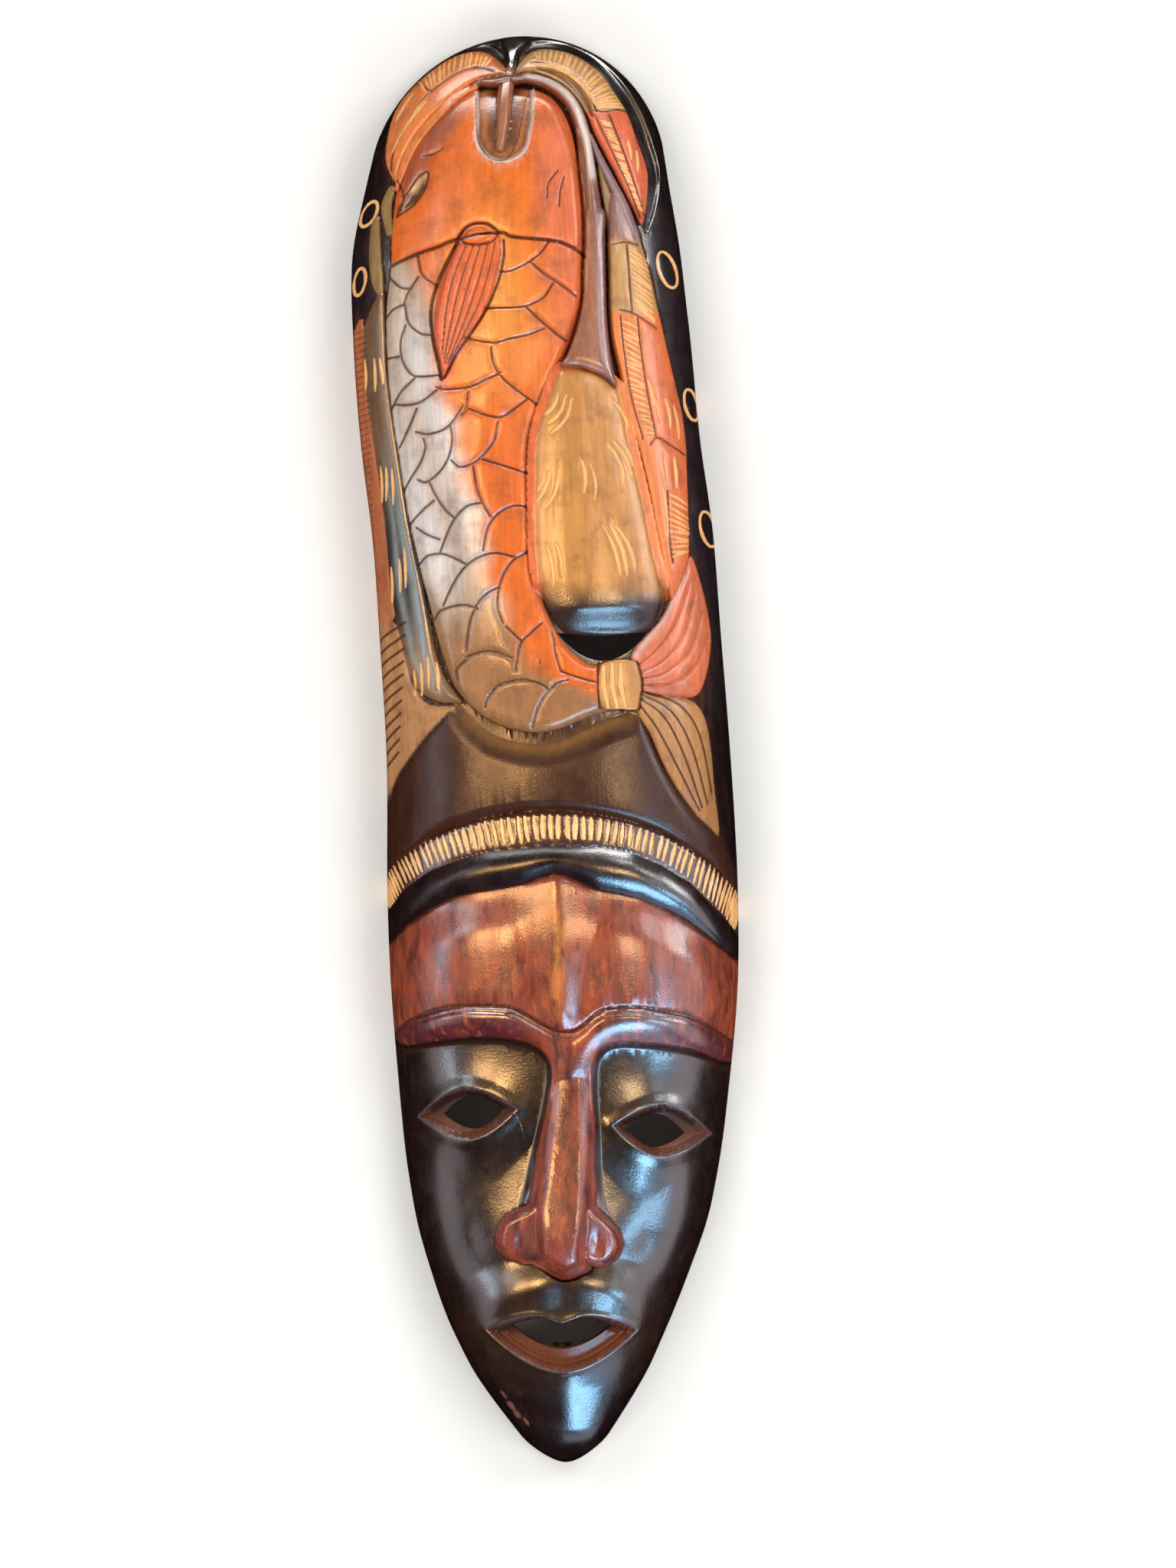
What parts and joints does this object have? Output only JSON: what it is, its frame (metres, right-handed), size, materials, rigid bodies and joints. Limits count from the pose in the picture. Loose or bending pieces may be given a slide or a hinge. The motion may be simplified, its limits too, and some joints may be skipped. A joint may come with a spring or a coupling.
{
  "type": "carved wooden wall mask",
  "caption": "Long carved wooden mask with an arched, open-backed body, a face below and raised fish, bird and snake carving above, pierced eyes and mouth.",
  "frame": {"origin": "on the plane of the flat back rim, under the middle of the outline's box", "axes": "+Y along the mask towards the crown, +X to the viewer's right, +Z out of the carved front; the mask lies on its back rim"},
  "size_m": [0.2576, 1, 0.1125],
  "materials": {
    "stained_wood": "dark stained and painted hardwood under a worn glossy varnish, raw wood where it is cut through"
  },
  "bodies": {
    "root": {"carved_mask": "stained_wood"}
  },
  "joints": []
}
